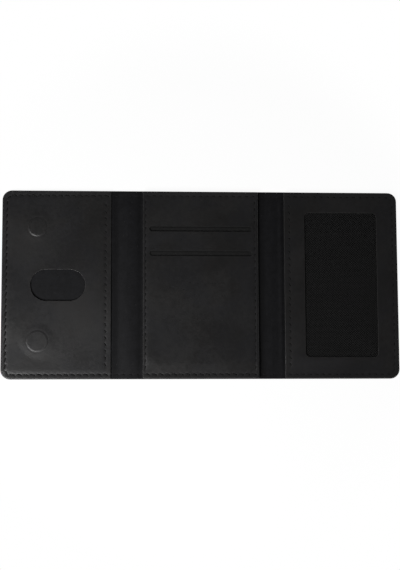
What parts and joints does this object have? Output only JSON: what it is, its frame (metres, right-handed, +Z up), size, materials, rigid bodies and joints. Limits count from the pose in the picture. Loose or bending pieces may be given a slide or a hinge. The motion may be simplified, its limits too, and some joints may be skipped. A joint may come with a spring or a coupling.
{
  "type": "magnetic phone card holder",
  "caption": "Tri-fold leather card holder that clings to a phone by a magnet ring in its middle, with card slots, a window pocket behind a net and a pocket with a thumb slot.",
  "frame": {"origin": "middle of the underside of the holder lying open, on the surface that it lies on", "axes": "+X along the open holder to the flap with the window, +Y to the top edge, +Z up out of the inside"},
  "size_m": [0.2192, 0.104, 0.003],
  "materials": {
    "outer_leather": "black waxy leather, fine grain, satin",
    "inner_leather": "black waxy leather with a mottled wax bloom, satin",
    "lining_cloth": "fine black lining cloth, slightly blue, matte",
    "facing_cloth": "thin black backing cloth, matte",
    "pocket_cloth": "thin black pocket cloth, matte",
    "net": "fine black net, threads along both diagonals",
    "carrier_plastic": "thin black moulded plate, matte",
    "board": "thin grey stiffening board, matte",
    "magnet": "nickel plate on a magnet, bright",
    "steel": "thin steel sheet, satin"
  },
  "bodies": {
    "middle": {"cover_middle": "outer_leather", "lining_middle": "lining_cloth", "magnet_carrier": "carrier_plastic", "shield_ring": "steel", "alignment_magnet": "magnet", "ring_magnet_01": "magnet", "ring_magnet_02": "magnet", "ring_magnet_03": "magnet", "ring_magnet_04": "magnet", "ring_magnet_05": "magnet", "ring_magnet_06": "magnet", "ring_magnet_07": "magnet", "ring_magnet_08": "magnet", "ring_magnet_09": "magnet", "ring_magnet_10": "magnet", "ring_magnet_11": "magnet", "ring_magnet_12": "magnet", "ring_magnet_13": "magnet", "ring_magnet_14": "magnet", "ring_magnet_15": "magnet", "ring_magnet_16": "magnet", "pocket_cloth_upper": "pocket_cloth", "pocket_cloth_lower": "pocket_cloth", "leather_middle": "inner_leather"},
    "left_spine": {"cover_left_spine": "outer_leather", "lining_left_spine": "lining_cloth"},
    "left_flap": {"cover_left": "outer_leather", "lining_left": "lining_cloth", "facing_left": "facing_cloth", "latch_magnet_left_upper": "magnet", "latch_magnet_left_lower": "magnet", "leather_left": "inner_leather"},
    "right_spine": {"cover_right_spine": "outer_leather", "lining_right_spine": "lining_cloth"},
    "right_flap": {"cover_right": "outer_leather", "board_right": "board", "latch_magnet_right_upper": "magnet", "latch_magnet_right_lower": "magnet", "lining_right": "lining_cloth", "window_net": "net", "leather_right": "inner_leather"}
  },
  "joints": [
    {"name": "left_spine_fold", "type": "hinge", "parent": "middle", "child": "left_spine", "pos_m": [-0.03256, 0, 0.0011], "axis": [0, 1, 0], "range_deg": [0, 90]},
    {"name": "left_flap_fold", "type": "hinge", "parent": "left_spine", "child": "left_flap", "pos_m": [-0.04974, 0, 0.0011], "axis": [0, 1, 0], "range_deg": [0, 90]},
    {"name": "right_spine_fold", "type": "hinge", "parent": "middle", "child": "right_spine", "pos_m": [0.03145, 0, 0.0011], "axis": [0, -1, 0], "range_deg": [0, 90]},
    {"name": "right_flap_fold", "type": "hinge", "parent": "right_spine", "child": "right_flap", "pos_m": [0.04575, 0, 0.0011], "axis": [0, -1, 0], "range_deg": [0, 90]}
  ]
}
